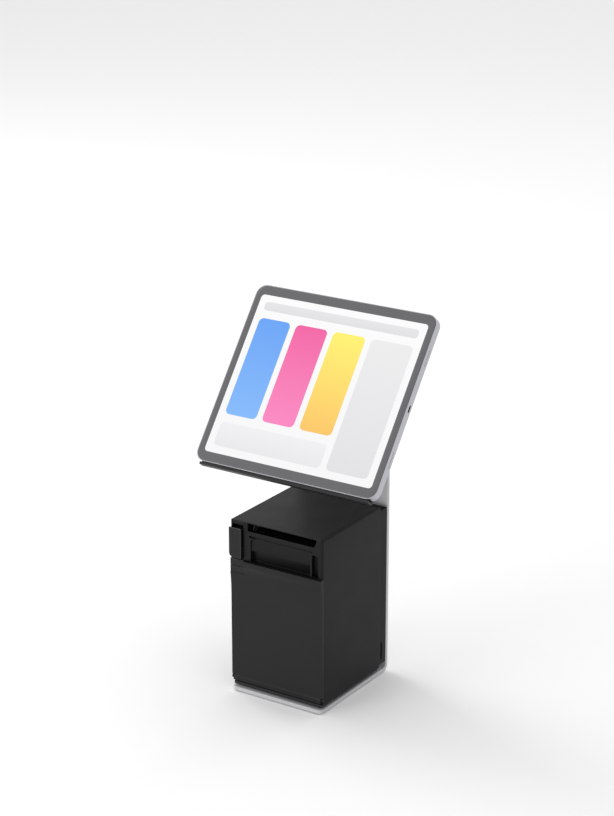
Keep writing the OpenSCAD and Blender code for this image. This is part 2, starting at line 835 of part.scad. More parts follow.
// The lever's flat, with its heel cut back so that it clears the casing as it swings
module lever_flat() {
    wall_front = printer_front - lever_y - heel_gap;
    difference() {
        block([lever_left, printer_front - lever_proud, lever_low],
              [lever_right, printer_front - 0.4, lever_high]);
        translate([lever_left - 1, lever_y, lever_z]) rotate([lever_swing, 0, 0])
            block([0, wall_front, -8], [lever_right - lever_left + 2, 8, 20]);
        translate([lever_left, printer_front - lever_proud - 1, lever_low]) difference() {
            block([-1, 0, -1], [lever_round, lever_proud + 1.2, lever_round]);
            translate([lever_round, -1, lever_round]) rotate([-90, 0, 0])
                cylinder(h = lever_proud + 3, r = lever_round);
        }
    }
}

module release_lever() {
    color("#333333") {
        lever_flat();
        block([lever_lug[0], printer_front - 2.5, lever_z - lever_lug_r],
              [lever_lug[1], lever_y, lever_z + lever_lug_r]);
        rod(lever_lug[0], lever_lug[1], lever_y, lever_z, lever_lug_r);
        rod(-inner_w - 1.2, lever_right + 3.5, lever_y, lever_z, trunnion_r);
    }
}

// A spring strip on the right cheek that bears on the back of the front cover
module door_catch() {
    left = paper_x + cheek_half + chassis_t;
    color("silver") along_x(left, left + 6) polygon([
        [-40, 150], [-60, 150], [-66, 156], [cover_rear + 0.5, 161], [-66, 166], [-65.4, 166.5],
        [cover_rear + 1.3, 161], [-65.6, 156.6], [-59.7, 150.8], [-40, 150.8]
    ]);
}

// Black shroud behind the casing that hides the cables, open behind and below
module cable_cover() {
    color("#262626") difference() {
        block([-shroud_half, printer_rear, shroud_low], [shroud_half, shroud_rear, shroud_high]);
        block([-shroud_half + shroud_t, printer_rear - eps, shroud_low - eps],
              [shroud_half - shroud_t, shroud_rear + eps, shroud_high - shroud_t]);
        for (x = [-1, 1])
            translate([x * shroud_half, 0, 0])
                block([-shroud_t - eps, notch_y[0], notch_z[0]],
                      [shroud_t + eps, notch_y[1], notch_z[1]]);
    }
}

module bottom_cover() {
    color("#222222") difference() {
        union() {
            block([-plinth_half, printer_front + plinth_inset, sole_low],
                  [plinth_half, inner_rear, printer_bottom - cover_gap]);
            block([-tray_half, tray_front, sole_low], [tray_half, inner_rear - 3, sole_top]);
            block([-cover_half, tray_front, printer_bottom + 2 * cover_gap],
                  [cover_half, inner_rear - cover_gap, sole_top]);
        }
        block([-tray_half + tray_wall, tray_front + tray_wall, sole_low + 3],
              [tray_half - tray_wall, inner_rear - 3 - tray_wall, sole_top + 1]);
        for (x = [-1, 1], y = printer_screw_y)
            translate([x * printer_screw_x, y, sole_low - 1]) cylinder(h = 12, r = printer_screw_r);
    }
}

module printer_feet() {
    color("black") for (x = [-foot_x, foot_x], y = foot_y)
        translate([x, y, base_top]) cylinder(h = sole_low - base_top, r = foot_r);
}

module case_screws() {
    color("silver") for (x = [-1, 1]) {
        rod_y(x * case_screw_x, inner_rear - 3, printer_rear, case_screw_z, 1.5);
        rod_y(x * case_screw_x, printer_rear, printer_rear + 1.8, case_screw_z, 3);
    }
}

// A round push button through the printer's left wall
module side_button(at) {
    color("gray") {
        rod(-half_w - 1.3, -inner_w + 0.1, at[0], at[1], at[2]);
        rod(-inner_w + 0.1, -inner_w + 1.3, at[0], at[1], at[2] + 1.4);
    }
}

module power_button() { side_button(power_at); }

module feed_button() { side_button(feed_at); }

module status_lens() {
    color("deepskyblue") rod(-half_w - 0.3, -inner_w + 3, lens_at[0], lens_at[1], lens_at[2]);
}

// ---------------------------------------------------------------- printer inside
// Outline of a side cheek, in Y and Z
module cheek() {
    difference() {
        polygon([[-50, sole_top], [40, sole_top], [40, 96], [8, 150], [8, 213], [-60, 213],
                 [-60, 176], [-50, 160]]);
        translate([platen_y, platen_z]) circle(shaft_r + run_gap);
    }
}

module chassis() {
    left = paper_x - cheek_half;
    right = paper_x + cheek_half;
    color("silver") difference() {
        union() {
            block([-57, -52, sole_top], [57, inner_rear - 0.2, chassis_top]);
            block([-57, inner_rear - chassis_t - 0.2, sole_top],
                  [57, inner_rear - 0.2, case_screw_z + 6]);
            along_x(left - chassis_t, left) cheek();
            along_x(right, right + chassis_t) cheek();
            rod(gear_left - 1, left - chassis_t, idler_y, idler_z, stud_r);
        }
        rod(left - chassis_t - 1, left + 1, pinion_y, pinion_z, 3);
        for (x = [-1, 1]) {
            rod_y(x * case_screw_x, inner_rear - 4, inner_rear + 1, case_screw_z, 1.5);
            for (y = printer_screw_y)
                translate([x * printer_screw_x, y, sole_top - 1]) cylinder(h = 4, r = 2);
        }
    }
}

module roll_bucket() {
    left = paper_x - paper_width / 2 - 0.8;
    right = paper_x + paper_width / 2 + 0.8;
    color("#3a3a3a") {
        intersection() {
            difference() {
                rod(left - 1.8, right + 1.8, roll_y, bucket_z, bucket_r + 2);
                rod(left, right, roll_y, bucket_z, bucket_r);
            }
            block([left - 2, roll_y - 50, 0], [right + 2, roll_y + 50, bucket_z + 4]);
        }
        for (x = [left + 8, right - 11]) difference() {
            block([x, roll_y - 24, chassis_top], [x + 3, roll_y + 24, 34]);
            rod(x - 1, x + 4, roll_y, bucket_z, bucket_r + 1);
        }
    }
}

module paper_roll() {
    color("white") difference() {
        rod(paper_x - paper_width / 2, paper_x + paper_width / 2, roll_y, roll_z, roll_r);
        rod(paper_x - paper_width / 2 - 1, paper_x + paper_width / 2 + 1, roll_y, roll_z, core_r);
    }
}

module roll_core() {
    color("tan") difference() {
        rod(paper_x - paper_width / 2, paper_x + paper_width / 2, roll_y, roll_z, core_r);
        rod(paper_x - paper_width / 2 - 1, paper_x + paper_width / 2 + 1, roll_y, roll_z,
            core_r - 2);
    }
}

module platen_roller() {
    color("black") difference() {
        rod(paper_x - roller_half, paper_x + roller_half, platen_y, platen_z, platen_r);
        rod(paper_x - roller_half - 1, paper_x + roller_half + 1, platen_y, platen_z, shaft_r);
    }
}

module platen_shaft() {
    color("silver") rod(gear_left - 1, paper_x + cheek_half + 3, platen_y, platen_z, shaft_r);
}

module platen_gear() {
    color("white") gear(platen_teeth, platen_y, platen_z, shaft_r, 0);
}

module idler_gear() {
    color("white") gear(idler_teeth, idler_y, idler_z, stud_r + run_gap, 180 / idler_teeth);
}

module motor_pinion() {
    color("goldenrod") {
        gear(pinion_teeth, pinion_y, pinion_z, 1, 0);
        rod(gear_left - 1, paper_x - cheek_half + 0.05, pinion_y, pinion_z, 1);
    }
}

module feed_motor() {
    face = paper_x - cheek_half;
    color("silver") difference() {
        rod(face, face + motor_l, pinion_y, pinion_z, motor_r);
        rod(face - 1, face + 1, pinion_y, pinion_z, 3);
    }
}

module thermal_head() {
    color("ivory")
        block([paper_x - 41, head_y, 187], [paper_x + 41, head_y + 1.4, 203]);
}

module heat_sink() {
    color("silver")
        block([paper_x - 41, head_y + 1.4, 185], [paper_x + 41, head_y + 5, 203]);
}

module head_springs() {
    color("silver") for (x = [-20, 20]) difference() {
        rod_y(paper_x + x, head_y + 5, head_y + 10, 195, 3);
        rod_y(paper_x + x, head_y + 4, head_y + 11, 195, 2.2);
    }
}

module mechanism_frame() {
    left = paper_x - cheek_half;
    right = paper_x + cheek_half;
    color("silver") {
        block([left, head_y + 10, 186], [right, head_y + 11.5, 203.4]);
        block([left, head_y + 6, 203.4], [right, -20, 205]);
    }
}

module fixed_blade() {
    color("lightgray")
        block([paper_x - cheek_half, platen_y - 1, blade_z],
              [paper_x + cheek_half, head_y - 1.5, blade_z + blade_t]);
}

module moving_blade() {
    z = blade_z + blade_t + 0.1;
    color("lightgray") translate([paper_x, 0, z]) linear_extrude(blade_t)
        polygon([[-41, -44.5], [0, -40.5], [41, -44.5], [41, -28], [5, -28], [5, -20],
                 [-5, -20], [-5, -28], [-41, -28]]);
}

module cutter_motor() {
    color("dimgray") {
        block([-30, -18, 205], [24, 6, 214]);
        rod(-2, 24, -6, 195, 9.9);
    }
}

module main_board() {
    color("darkgreen") {
        block([-56, board_y, chassis_top], [50, board_y + 1.6, 112]);
        block([-20, board_y - 2, 76], [4, board_y, 100]);
        block([18, board_y - 1.6, 80], [34, board_y, 96]);
        for (x = [-48, -38, -28]) rod_y(x, board_y - 3, board_y, 88, 3.5);
    }
}

module rear_connectors() {
    color("dimgray") for (s = sockets) difference() {
        block([s[0], board_y + 1.6, s[1]], [s[0] + s[2], socket_rear, s[1] + s[3]]);
        block([s[0] + 1.4, board_y + 2.8, s[1] + 1.4],
              [s[0] + s[2] - 1.4, socket_rear + 1, s[1] + s[3] - 1.4]);
    }
}

stand_plate();
base_pad();
printer_screws();
cable_grommet();
hinge_base();
hinge_screws();
hinge_pin();
hinge_nut();
friction_washers();
tilt_arm();
cradle();
cradle_screws();
grip_pads();
ledge_liner();
tablet_shell();
tablet_glass();
tablet_display();
tablet_battery();
tablet_board();
tablet_speakers();
tablet_power_button();
volume_up_button();
volume_down_button();
front_camera();
rear_camera();
usb_port();
printer_case();
top_cover();
exit_bezel();
tear_bar();
front_cover();
door_pins();
release_lever();
door_catch();
chassis();
roll_bucket();
paper_roll();
roll_core();
platen_roller();
platen_shaft();
platen_gear();
idler_gear();
motor_pinion();
feed_motor();
thermal_head();
heat_sink();
head_springs();
mechanism_frame();
fixed_blade();
moving_blade();
cutter_motor();
main_board();
rear_connectors();
cable_cover();
bottom_cover();
printer_feet();
case_screws();
power_button();
feed_button();
status_lens();
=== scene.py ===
import json
import logging
import math
from dataclasses import dataclass, field
from enum import Enum

import bmesh
import bpy
from mathutils import Matrix, Vector


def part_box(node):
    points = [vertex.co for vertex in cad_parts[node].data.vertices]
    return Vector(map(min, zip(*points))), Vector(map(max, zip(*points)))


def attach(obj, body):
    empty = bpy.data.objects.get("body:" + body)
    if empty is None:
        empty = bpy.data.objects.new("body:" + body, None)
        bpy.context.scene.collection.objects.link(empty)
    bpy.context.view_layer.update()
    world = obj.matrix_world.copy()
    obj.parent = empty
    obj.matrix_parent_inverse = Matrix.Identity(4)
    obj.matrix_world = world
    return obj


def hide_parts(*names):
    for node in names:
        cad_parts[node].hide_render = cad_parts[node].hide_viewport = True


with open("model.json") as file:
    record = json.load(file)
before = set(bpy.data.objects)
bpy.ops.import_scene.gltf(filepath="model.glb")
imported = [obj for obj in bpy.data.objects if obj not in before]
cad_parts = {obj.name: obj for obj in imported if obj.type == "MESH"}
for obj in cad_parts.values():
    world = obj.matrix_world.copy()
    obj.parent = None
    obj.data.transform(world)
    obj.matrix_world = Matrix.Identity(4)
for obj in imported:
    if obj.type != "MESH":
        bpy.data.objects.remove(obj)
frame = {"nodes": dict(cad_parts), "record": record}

LOG = logging.getLogger("kiosk")
MM = 0.001
# Size of the broad mottle on every finish, and its share against the fine grain
MOTTLE_MM = 38
MOTTLE_SHARE = 0.4
GRAIN_SHARE = 0.6
BUMP_STRENGTH = 0.6
# Blender's ring texture repeats each 20 / (2 pi) units at a scale of one
RING_SCALE = 2 * math.pi / 20
# Edges above this angle in degrees are rounded, and faces nearly flush are merged
ROUND_ABOVE = 38
MERGE_BELOW = 0.6
MERGE_MM = 0.002
NODE_BODY = {n: b for b, ns in frame["record"]["behaviour"]["bodies"].items() for n in ns}


# ---------------------------------------------------------------- shared tools


def linear(code: str) -> tuple[float, float, float, float]:
    """Turns an sRGB hex colour into linear light.

    Args:
        code: Six hex digits, with or without a leading hash.

    Returns:
        Linear red, green, blue and an alpha of one.
    """
    parts = [int(code.lstrip("#")[i : i + 2], 16) / 255 for i in (0, 2, 4)]
    light = [c / 12.92 if c <= 0.04045 else ((c + 0.055) / 1.055) ** 2.4 for c in parts]
    return (light[0], light[1], light[2], 1.0)


def per_metre(size_mm: float) -> float:
    """Returns the texture scale that draws one feature each size_mm millimetres."""
    return 1 / (size_mm * MM)


def add_node(
    tree: bpy.types.NodeTree,
    kind: str,
    settings: dict[str | int, object] | None = None,
    links: dict[str | int, bpy.types.NodeSocket] | None = None,
) -> bpy.types.Node:
    """Adds one shader node with its settings and links.

    Args:
        tree: The node tree that gets the node.
        kind: The node's type name.
        settings: Lower-case names are attributes, and the others are inputs.
        links: The output that feeds each named input.

    Returns:
        The new node.
    """
    node = tree.nodes.new(kind)
    for key, value in (settings or {}).items():
        if isinstance(key, str) and key.islower():
            setattr(node, key, value)
        else:
            node.inputs[key].default_value = value
    for key, output in (links or {}).items():
        tree.links.new(output, node.inputs[key])
    return node


class Grain(Enum):
    """The way a finish's pattern lies on its surface."""

    EVEN = (1.0, 1.0, 1.0)
    ALONG_X = (0.03, 1.0, 1.0)


# -------------------------------------------------------------------- finishes


@dataclass(frozen=True)
class Finish:
    """A surface with a fine grain and a broad, faint mottle.

    Attributes:
        label: The finish's common name, which names the material.
        colour: The usual colour, in hex.
        shade: The colour in the pattern's hollows, in hex.
        roughness: Lowest and highest roughness over the grain.
        grain_mm: Size of one grain.
        depth_mm: Height of the grain.
        metallic: One for bare metal.
        ior: Index of refraction, at the default for metals.
        coat: Strength of a clear coat.
        grain: The way the grain runs.
        gloss: Specular level, 0.5 for the full gloss of its index.
    """

    label: str
    colour: str
    shade: str
    roughness: tuple[float, float]
    grain_mm: float
    depth_mm: float
    metallic: float = 0.0
    ior: float = 1.5
    coat: float = 0.0
    grain: Grain = Grain.EVEN
    gloss: float = 0.5

    def material(self) -> bpy.types.Material:
        """Returns the finish's material, made the first time it is asked for."""
        known = bpy.data.materials.get(self.label)
        if known:
            return known
        made = bpy.data.materials.new(self.label)
        made.use_nodes = True
        made.node_tree.nodes.clear()
        self.draw(made.node_tree)
        return made

    def draw(self, tree: bpy.types.NodeTree) -> None:
        """Draws the whole node tree.

        Args:
            tree: The empty node tree to fill.
        """
        place = add_node(tree, "ShaderNodeTexCoord")
        turned = add_node(
            tree, "ShaderNodeMapping", {"Scale": self.grain.value}, {"Vector": place.outputs["Object"]}
        )
        height, blend = self.pattern(tree, turned.outputs["Vector"])
        broad = add_node(
            tree,
            "ShaderNodeTexNoise",
            {"Scale": per_metre(MOTTLE_MM), "Detail": 3.0},
            {"Vector": place.outputs["Object"]},
        )
        mixed = add_node(
            tree,
            "ShaderNodeMath",
            {"operation": "MULTIPLY_ADD", 1: GRAIN_SHARE, 2: 0.0},
            {0: blend},
        )
        total = add_node(
            tree,
            "ShaderNodeMath",
            {"operation": "MULTIPLY_ADD", 1: MOTTLE_SHARE},
            {0: broad.outputs["Fac"], 2: mixed.outputs[0]},
        )
        tint = add_node(
            tree,
            "ShaderNodeMix",
            {"data_type": "RGBA", 6: linear(self.colour), 7: linear(self.shade)},
            {0: total.outputs[0]},
        )
        rough = add_node(
            tree,
            "ShaderNodeMapRange",
            {"From Min": 0.25, "From Max": 0.75, "To Min": self.roughness[0], "To Max": self.roughness[1]},
            {"Value": total.outputs[0]},
        )
        bump = add_node(
            tree,
            "ShaderNodeBump",
            {"Strength": BUMP_STRENGTH, "Distance": self.depth_mm * MM},
            {"Height": height},
        )
        links = {
            "Base Color": tint.outputs[2],
            "Roughness": rough.outputs[0],
            "Normal": bump.outputs[0],
        }
        settings = {
            "Metallic": self.metallic,
            "IOR": self.ior,
            "Coat Weight": self.coat,
            "Specular IOR Level": self.gloss,
        }
        self.shade_with(tree, settings, links)

    def shade_with(
        self,
        tree: bpy.types.NodeTree,
        settings: dict[str | int, object],
        links: dict[str | int, bpy.types.NodeSocket],
    ) -> None:
        """Adds the shader and the output.

        Args:
            tree: The node tree to finish.
            settings: Values on the shader's own sockets.
            links: Patterns that feed the shader.
        """
        shader = add_node(tree, "ShaderNodeBsdfPrincipled", settings, links)
        add_node(tree, "ShaderNodeOutputMaterial", {}, {"Surface": shader.outputs[0]})

    def pattern(
        self, tree: bpy.types.NodeTree, place: bpy.types.NodeSocket
    ) -> tuple[bpy.types.NodeSocket, bpy.types.NodeSocket]:
        """Draws the grain.

        Args:
            tree: The node tree that gets the pattern.
            place: Coordinates on the piece.

        Returns:
            The grain's height, and its blend from colour to shade.
        """
        noise = add_node(
            tree,
            "ShaderNodeTexNoise",
            {"Scale": per_metre(self.grain_mm), "Detail": 4.0, "Roughness": 0.6},
            {"Vector": place},
        )
        return noise.outputs["Fac"], noise.outputs["Fac"]


@dataclass(frozen=True)
class Pebbled(Finish):
    """A moulded or sprayed skin whose grain is small rounded cells."""

    def pattern(
        self, tree: bpy.types.NodeTree, place: bpy.types.NodeSocket
    ) -> tuple[bpy.types.NodeSocket, bpy.types.NodeSocket]:
        """Draws rounded cells, and returns their height and blend."""
        cells = add_node(
            tree,
            "ShaderNodeTexVoronoi",
            {"feature": "SMOOTH_F1", "Scale": per_metre(self.grain_mm), "Smoothness": 0.6},
            {"Vector": place},
        )
        fine = add_node(
            tree,
            "ShaderNodeTexNoise",
            {"Scale": per_metre(self.grain_mm * 0.5), "Detail": 3.0},
            {"Vector": place},
        )
        return cells.outputs["Distance"], fine.outputs["Fac"]


@dataclass(frozen=True)
class Wound(Finish):
    """Paper wound on a core, whose end faces show its layers as rings about X.

    Attributes:
        axis_y: Depth position of the roll's axis.
        axis_z: Height of the roll's axis.
    """

    axis_y: float = 0.0
    axis_z: float = 0.0

    def pattern(
        self, tree: bpy.types.NodeTree, place: bpy.types.NodeSocket
    ) -> tuple[bpy.types.NodeSocket, bpy.types.NodeSocket]:
        """Draws rings round the roll's axis, and returns their height and blend."""
        centred = add_node(
            tree, "ShaderNodeMapping", {"Location": (0, -self.axis_y, -self.axis_z)}, {"Vector": place}
        )
        rings = add_node(
            tree,
            "ShaderNodeTexWave",
            {
                "wave_type": "RINGS",
                "rings_direction": "X",
                "Scale": RING_SCALE * per_metre(self.grain_mm),
                "Distortion": 0.4,
                "Detail": 2.0,
            },
            {"Vector": centred.outputs["Vector"]},
        )
        return rings.outputs["Fac"], rings.outputs["Fac"]


@dataclass(frozen=True)
class Tracked(Finish):
    """A circuit board's lacquer over parallel copper tracks."""

    def pattern(
        self, tree: bpy.types.NodeTree, place: bpy.types.NodeSocket
    ) -> tuple[bpy.types.NodeSocket, bpy.types.NodeSocket]:
        """Draws tracks as bricks, and returns their height and blend."""
        tracks = add_node(
            tree,
            "ShaderNodeTexBrick",
            {
                "Scale": per_metre(self.grain_mm * 8),
                "Mortar Size": 0.03,
                "Color1": (1, 1, 1, 1),
                "Color2": (0.7, 0.7, 0.7, 1),
                "Mortar": (0, 0, 0, 1),
            },
            {"Vector": place},
        )
        return tracks.outputs["Fac"], tracks.outputs["Color"]


@dataclass(frozen=True)
class LitPanel(Finish):
    """A lit display behind polished glass, in the colours of its own attribute.

    Attributes:
        glow: Strength of the light.
        tint_name: The colour attribute that holds the picture.
    """

    glow: float = 1.07
    tint_name: str = "tint"

    def shade_with(
        self,
        tree: bpy.types.NodeTree,
        settings: dict[str | int, object],
        links: dict[str | int, bpy.types.NodeSocket],
    ) -> None:
        """Adds the shader with the picture as its light, over black glass."""
        picture = add_node(tree, "ShaderNodeAttribute", {"attribute_name": self.tint_name})
        settings = {**settings, "Emission Strength": self.glow}
        links = {**links, "Emission Color": picture.outputs["Color"]}
        super().shade_with(tree, settings, links)


# Powder-coated steel: a soft satin light grey with a faint orange peel
POWDER_GREY = Pebbled("powder_coat_light_grey", "#b6b6b8", "#afafb1", (0.36, 0.46), 1.6, 0.05)
# The same coat on the plate's rounded edges, painted paler and glossier as a highlight
POWDER_EDGE_HIGHLIGHT = Finish("powder_coat_edge_highlight", "#f2f2f3", "#e9e9ea", (0.26, 0.34), 2.0, 0.01)
# The same coat in black, on the hinge and the cradle
POWDER_BLACK = Pebbled("powder_coat_black", "#1f1f21", "#19191b", (0.42, 0.52), 1.6, 0.06, gloss=0.35)
# Spark-textured moulded ABS: a dry black that catches a broad grey sheen.
# The real grain is under 0.1 mm, and is drawn at 1.1 mm so that it shows
SPARK_ABS = Pebbled("spark_textured_abs_black", "#171718", "#121213", (0.44, 0.56), 1.1, 0.05, gloss=0.21)
# The same ABS on the casing as a shaded copy, a touch darker and less glossy, which paints the casing's
# sides darker than the top
CASE_ABS_SHADED = Pebbled("spark_textured_abs_casing_shaded", "#161617", "#111112", (0.48, 0.6), 1.1, 0.05, gloss=0.15)
# The same ABS along the bezel, cover and lever edges, painted lighter and glossier as a highlight
ABS_EDGE_HIGHLIGHT = Finish("abs_edge_painted_highlight", "#2b2b2d", "#232325", (0.22, 0.34), 2.4, 0.01, gloss=0.5)
# Smoother ABS of the paper exit, whose edges catch sharper light
SATIN_ABS = Pebbled("satin_abs_black", "#151516", "#101011", (0.34, 0.46), 0.9, 0.03, gloss=0.14)
# Moulded ABS of inner parts, plain and slightly greyer
INNER_ABS = Finish("moulded_abs_inner", "#1d1d1f", "#171719", (0.4, 0.55), 1.4, 0.04, gloss=0.3)
# Anodised and blasted aluminium: a pale silver with a fine, even sparkle
ANODISED = Finish("anodised_aluminium", "#bfc0c6", "#b2b3ba", (0.26, 0.36), 0.8, 0.012, 1.0)
# The shell's diamond-cut chamfer: a bright mirror line round the glass, polished and painted paler than the
# shell as a highlight
CHAMFER_HIGHLIGHT = Finish("diamond_cut_aluminium_highlight", "#e4e5ea", "#d8d9df", (0.1, 0.18), 1.0, 0.004, 1.0)
# Extruded aluminium, with die lines along its length
EXTRUDED = Finish(
    "extruded_aluminium", "#b4b5b8", "#9fa0a3", (0.3, 0.45), 0.9, 0.03, 1.0, grain=Grain.ALONG_X
)
# Bright zinc plate: a cool silver with a cloudy bloom
ZINC = Finish("bright_zinc_plate", "#b9bcc2", "#a3a7af", (0.22, 0.4), 2.2, 0.015, 1.0)
# Galvanised sheet: spangle crystals a few millimetres wide
GALVANISED = Pebbled("galvanised_sheet", "#a9acb0", "#8e9196", (0.3, 0.5), 5.0, 0.02, 1.0)
# Ground steel of blades and the tear bar, with grinding lines
GROUND = Finish("ground_steel", "#c3c6ca", "#a8abb0", (0.18, 0.34), 0.7, 0.02, 1.0, grain=Grain.ALONG_X)
# Black-oxide steel of the cutter, frame and tear bar: nearly black, with a dull metal edge; its dark colour
# also paints the shade inside the paper slot
BLACK_OXIDE_SLOT_SHADE = Finish("black_oxide_steel_slot_shade", "#26262a", "#1b1b1e", (0.4, 0.52), 0.7, 0.01, 1.0, grain=Grain.ALONG_X)
# Drawn steel can of the motor, with draw lines along its length
DRAWN_CAN = Finish("drawn_steel", "#8f9195", "#7b7d81", (0.28, 0.42), 1.0, 0.02, 1.0, grain=Grain.ALONG_X)
# Satin brass, slightly tarnished in the hollows
BRASS = Finish("satin_brass", "#c9a45a", "#a98344", (0.28, 0.44), 1.2, 0.02, 1.0)
# Nitrile rubber: matte black with a dusty bloom
RUBBER = Pebbled("nitrile_rubber", "#232323", "#2d2d2c", (0.72, 0.88), 1.8, 0.08)
# Ground silicone rubber of the platen, dark and even
PLATEN_RUBBER = Finish(
    "ground_silicone_rubber", "#2a2a2c", "#222224", (0.6, 0.72), 0.7, 0.03, grain=Grain.ALONG_X
)
# Painted cover glass: a mid grey border under polished glass
BORDER_GLASS = Finish("cover_glass_border", "#5b5b5d", "#575759", (0.16, 0.24), 18.0, 0.001)
# Lens glass over black
LENS = Finish("lens_glass", "#08080a", "#101014", (0.03, 0.08), 6.0, 0.001, coat=1.0)
# Clear blue acrylic of the status lamp
LAMP = Finish("tinted_acrylic_blue", "#3b82c4", "#2f6fae", (0.12, 0.2), 2.0, 0.01, coat=0.5)
# Grey satin button caps
BUTTON_ABS = Pebbled("satin_abs_grey", "#58585a", "#4e4e50", (0.38, 0.48), 0.9, 0.03)
# Natural acetal of the gears: waxy off-white
ACETAL = Finish("moulded_acetal", "#e2ded2", "#d4cfc1", (0.26, 0.36), 1.5, 0.02, ior=1.48)
# Glass-epoxy circuit board: green lacquer over copper tracks
SOLDER_MASK = Tracked("glass_epoxy_board", "#0f4a2a", "#1d6b3c", (0.3, 0.45), 0.5, 0.04)
# Wrapped battery cell, black film with slight wrinkles
BATTERY_FILM = Finish("battery_wrap", "#1f1f22", "#2b2b2f", (0.35, 0.6), 7.0, 0.15)
# Glazed thermal head: a dark brown glaze, glassy over the dots, kept dark so that it also paints the shade
# inside the paper slot
ALUMINA_SLOT_SHADE = Finish("glazed_alumina_slot_shade", "#2c2622", "#231e1b", (0.12, 0.22), 1.2, 0.01, coat=0.4)
# Raw grey-board tube, with fibres
CORE_CARD = Finish("grey_board", "#a2835d", "#8b6d49", (0.8, 0.95), 1.1, 0.1, grain=Grain.ALONG_X)
# Gold-plated contacts
GOLD = Finish("gold_plate", "#d9b24c", "#c29a3a", (0.18, 0.3), 1.0, 0.005, 1.0)
# Lit display under glass
DISPLAY = LitPanel("lit_display_glass", "#050506", "#08080a", (0.05, 0.1), 18.0, 0.001)


# ----------------------------------------------------------------- mesh making


class Workpiece:
    """A mesh on the bench, which becomes one finished piece."""

    def __init__(self) -> None:
        """Starts with an empty mesh."""
        self.bm = bmesh.new()

    def block(self, low: Vector, high: Vector) -> "Workpiece":
        """Adds a box.

        Args:
            low: Lowest corner.
            high: Highest corner.

        Returns:
            The workpiece.
        """
        size = high - low
        matrix = Matrix.Translation((low + high) / 2) @ Matrix.Diagonal((*size, 1))
        bmesh.ops.create_cube(self.bm, size=1.0, matrix=matrix)
        return self

    def rounded_outline(self, width: float, height: float, corner: float, steps: int = 10) -> list:
        """Adds a flat rounded rectangle about the origin.

        Args:
            width: Size along X.
            height: Size along Y.
            corner: Corner radius.
            steps: Segments in each corner.

        Returns:
            Its face, in a list.
        """
        made = bmesh.ops.create_grid(
            self.bm, x_segments=1, y_segments=1, size=0.5, matrix=Matrix.Diagonal((width, height, 1, 1))
        )
        rounded = bmesh.ops.bevel(
            self.bm,
            geom=made["verts"],
            offset=corner,
            offset_type="OFFSET",
            affect="VERTICES",
            segments=steps,
            profile=0.5,
            material=-1,
        )
        verts = set(rounded["verts"])
        return [f for f in self.bm.faces if verts & set(f.verts)]

    def thicken(self, faces: list, depth: float) -> "Workpiece":
        """Extrudes flat faces downwards into a closed solid.

        Args:
            faces: Faces on the top side.
            depth: Thickness.

        Returns:
            The workpiece.
        """
        made = bmesh.ops.extrude_face_region(self.bm, geom=faces, use_keep_orig=True)
        moved = [g for g in made["geom"] if isinstance(g, bmesh.types.BMVert)]
        bmesh.ops.translate(self.bm, vec=(0, 0, -depth), verts=moved)
        bmesh.ops.recalc_face_normals(self.bm, faces=self.bm.faces)
        return self

    def relieve(self, width: float, segments: int = 2, above: float = 35.0) -> "Workpiece":
        """Rounds every edge that is sharper than an angle.

        Args:
            width: Width of the round.
            segments: Steps over it.
            above: The angle in degrees.

        Returns:
            The workpiece.
        """
        limit = math.radians(above)
        sharp = [e for e in self.bm.edges if len(e.link_faces) == 2 and e.calc_face_angle() > limit]
        bmesh.ops.bevel(
            self.bm,
            geom=sharp,
            offset=width,
            affect="EDGES",
            segments=segments,
            profile=0.5,
            material=-1,
            clamp_overlap=True,
        )
        return self

    def place(self, matrix: Matrix) -> "Workpiece":
        """Moves the mesh to its place, and returns the workpiece."""
        bmesh.ops.transform(self.bm, matrix=matrix, verts=self.bm.verts)
        return self

    def finish(self, name: str, finish: Finish, sharp_above: float = 35.0) -> bpy.types.Object:
        """Turns the workpiece into an object at the origin.

        Args:
            name: The piece's name.
            finish: Its finish.
            sharp_above: Edges above this angle in degrees stay crisp.

        Returns:
            The object.
        """
        mesh = bpy.data.meshes.new(name)
        self.bm.to_mesh(mesh)
        self.bm.free()
        mesh.shade_smooth()
        mesh.set_sharp_from_angle(angle=math.radians(sharp_above))
        mesh.materials.append(finish.material())
        piece = bpy.data.objects.new(name, mesh)
        bpy.context.scene.collection.objects.link(piece)
        return piece


def relieved_copy(
    node: str, name: str, finish: Finish, edge_mm: float, edge_highlight_finish: Finish | None = None
) -> bpy.types.Object:
    """Copies a node with its edges rounded, and lets the copy stand for it.

    Args:
        node: The node's name.
        name: The new piece's name.
        finish: The finish.
        edge_mm: Width of the rounded edges.
        edge_highlight_finish: Finish of the rounded edges, painted lighter as a highlight.

    Returns:
        The piece, which rides on the node's body.
    """
    work = Workpiece()
    work.bm.from_mesh(frame["nodes"][node].data)
    bmesh.ops.remove_doubles(work.bm, verts=work.bm.verts, dist=MERGE_MM * MM)
    bmesh.ops.dissolve_limit(
        work.bm,
        angle_limit=math.radians(MERGE_BELOW),
        use_dissolve_boundaries=False,
        verts=work.bm.verts,
        edges=work.bm.edges,
    )
    piece = work.finish(name, finish)
    rounding = piece.modifiers.new("rounded_edges", "BEVEL")
    rounding.width = edge_mm * MM
    rounding.segments = 2
    rounding.limit_method = "ANGLE"
    rounding.angle_limit = math.radians(ROUND_ABOVE)
    rounding.use_clamp_overlap = True
    rounding.harden_normals = True
    # The rounded edges take the second finish, a painted highlight along them
    if edge_highlight_finish:
        piece.data.materials.append(edge_highlight_finish.material())
        rounding.material = 1
    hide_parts(node)
    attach(piece, NODE_BODY[node])
    return piece


def dress(node: str, finish: Finish) -> None:
    """Gives a kept node its finish in all its material slots."""
    for slot in frame["nodes"][node].material_slots:
        slot.material = finish.material()


def report(group: str, names: list[str]) -> None:
    """Logs the pieces that a sub-assembly has made."""
    LOG.info("%s: %d pieces: %s", group, len(names), ", ".join(names))


